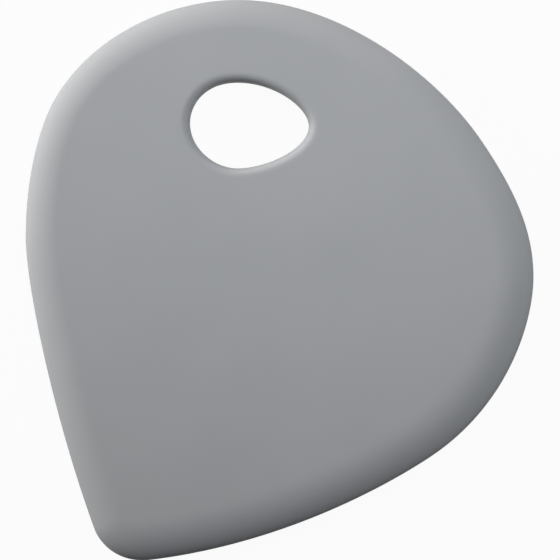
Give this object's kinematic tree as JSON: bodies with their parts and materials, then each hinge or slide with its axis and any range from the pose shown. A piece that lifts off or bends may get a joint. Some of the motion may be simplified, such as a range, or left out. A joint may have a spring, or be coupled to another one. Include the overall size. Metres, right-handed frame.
{
  "type": "dough scraper",
  "caption": "Teardrop silicone dough scraper with a thin tapered rim, an egg-shaped finger hole and a stiff core plate inside.",
  "frame": {"origin": "on the surface that the scraper lies on, under the middle of the blade's outline", "axes": "+Z out of the front face, +Y up the blade away from the scraping belly, +X to the right of the front face"},
  "size_m": [0.1178, 0.13, 0.009],
  "materials": {
    "silicone": "matte moulded silicone",
    "core_nylon": "satin moulded nylon"
  },
  "bodies": {
    "root": {"front_skin": "silicone", "rear_skin": "silicone", "core_plate": "core_nylon"}
  },
  "joints": []
}
